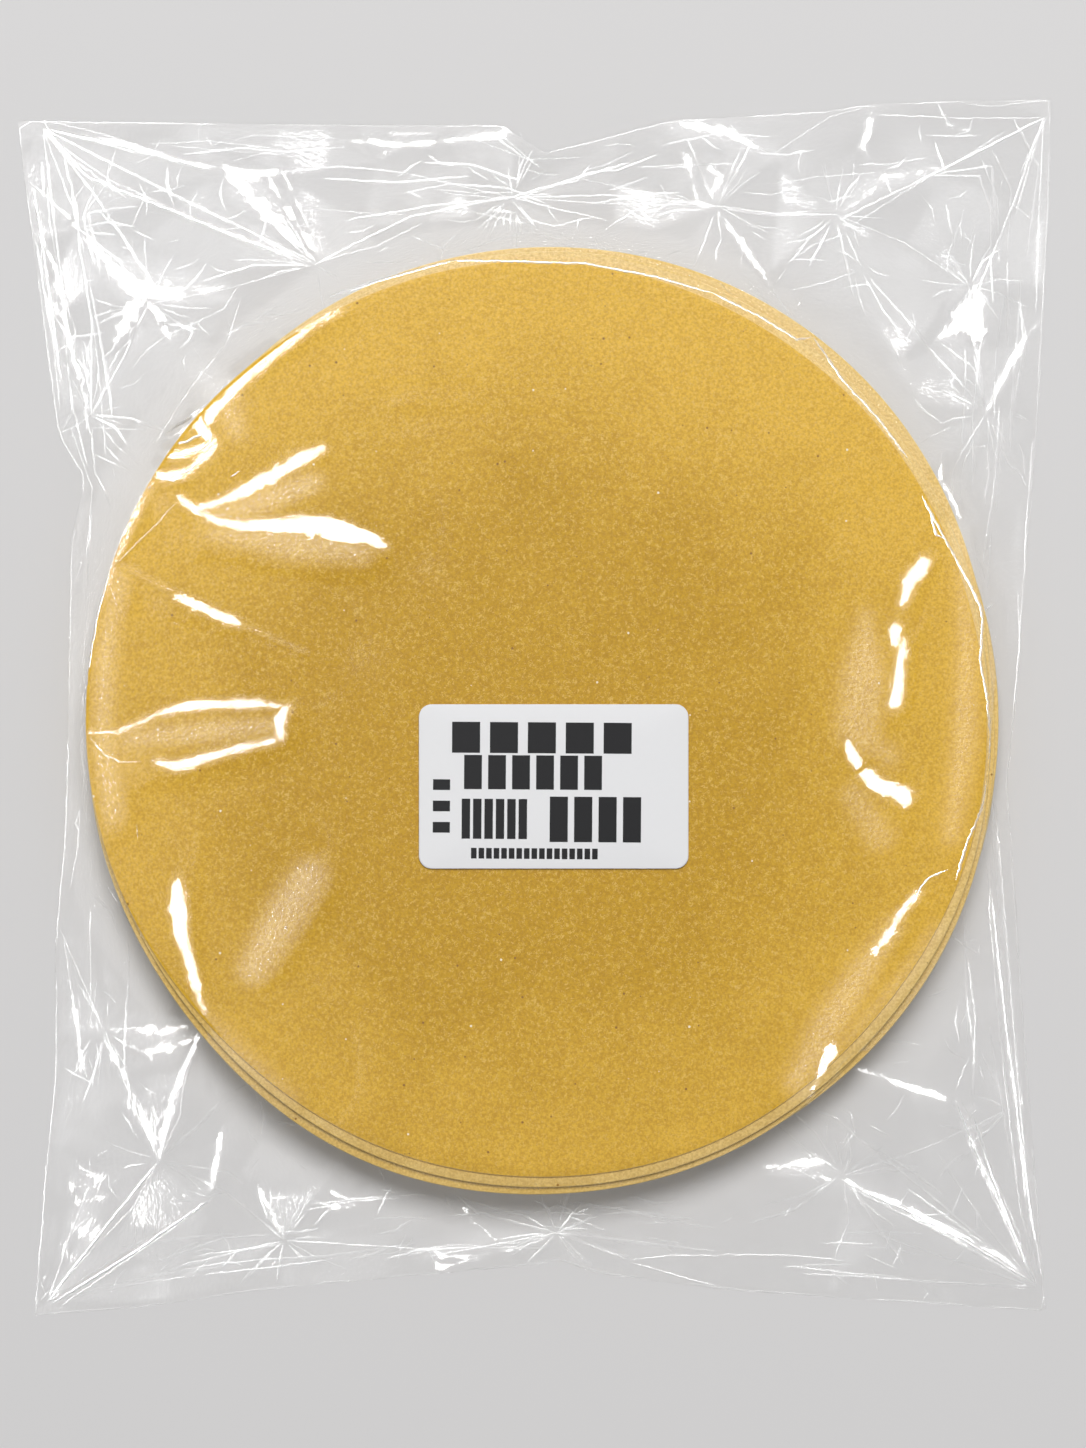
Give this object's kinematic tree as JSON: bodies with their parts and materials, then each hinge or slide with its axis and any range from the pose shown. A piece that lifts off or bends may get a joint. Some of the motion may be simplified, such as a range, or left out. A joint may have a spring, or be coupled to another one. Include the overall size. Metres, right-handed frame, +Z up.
{
  "type": "bagged stack of papads",
  "caption": "Stack of thin round plain papads, sealed in a clear crinkled flat bag with a small paper label on its front.",
  "frame": {"origin": "on the surface that the bag lies on, under the middle of the bag's outline", "axes": "+Z up out of the front of the bag, +Y along its longer side towards the upper edge, +X to the right with the label seen upright"},
  "size_m": [0.1956, 0.23, 0.0108],
  "materials": {
    "papad": "dry matt dough with a fine grain and small flecks",
    "film": "clear glossy crinkled cellophane",
    "label_paper": "smooth white paper",
    "label_ink": "flat black print"
  },
  "bodies": {
    "root": {"bag": "papad", "label": "label_paper"}
  },
  "joints": []
}
